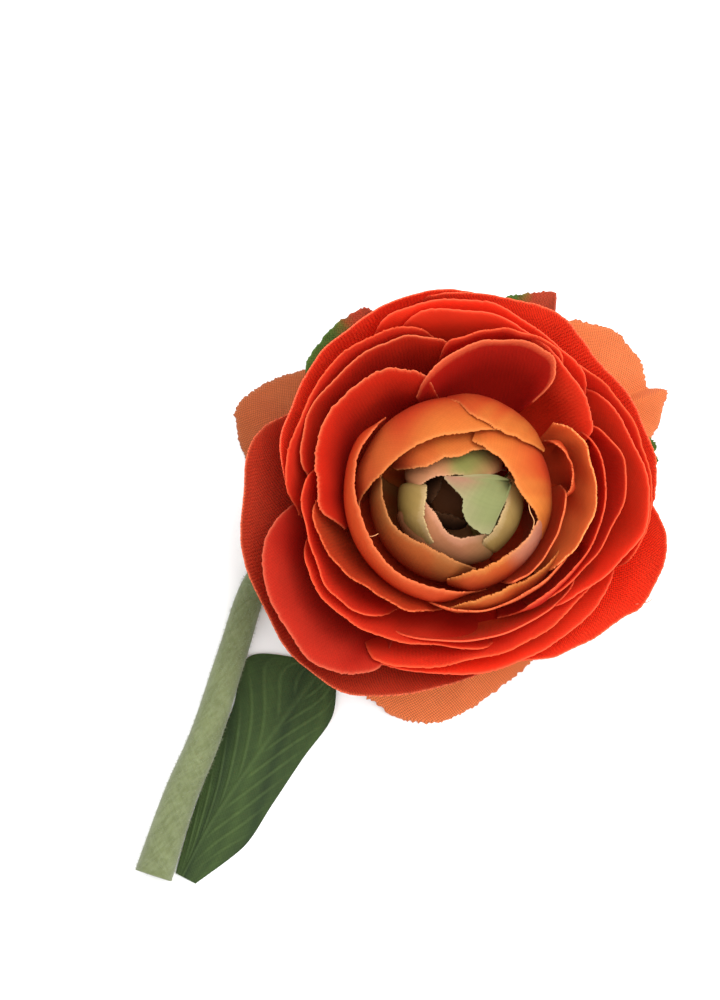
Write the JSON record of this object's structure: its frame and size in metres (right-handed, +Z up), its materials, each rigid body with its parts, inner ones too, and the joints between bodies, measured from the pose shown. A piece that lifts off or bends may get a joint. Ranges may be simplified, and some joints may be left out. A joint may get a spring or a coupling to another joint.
{
  "type": "ranunculus flower",
  "caption": "Cut artificial ranunculus lying on its back: layered fabric bloom with a green heart, calyx, bent flocked stem and one leaf.",
  "frame": {"origin": "on the surface that the flower lies on, under the middle of its box", "axes": "+Z up, out of the bloom's open face; +X to the right of a viewer who looks down on the face with the stem towards them; +Y away from that viewer"},
  "size_m": [0.1042, 0.1104, 0.0606],
  "materials": {
    "stem_flock": "grey-green plastic stem with a coat of fine pale flock",
    "sepal_fabric": "woven fabric dyed green, rusty red at the tips",
    "guard_fabric": "thin plain-woven fabric, pale coral orange, threads showing",
    "red_fabric": "thin woven fabric dyed orange red, cut edges paler and frayed",
    "orange_fabric": "thin woven fabric dyed orange, redder towards the roots",
    "heart_fabric": "woven fabric dyed pale green, blushed pink at the edges",
    "leaf_fabric": "stiffened fabric dyed dark green with paler moulded veins"
  },
  "bodies": {
    "root": {"stem": "stem_flock", "calyx": "sepal_fabric", "petals_guard": "guard_fabric", "petals_red": "red_fabric", "petals_orange": "orange_fabric", "petals_heart": "heart_fabric", "leaf": "leaf_fabric"}
  },
  "joints": []
}
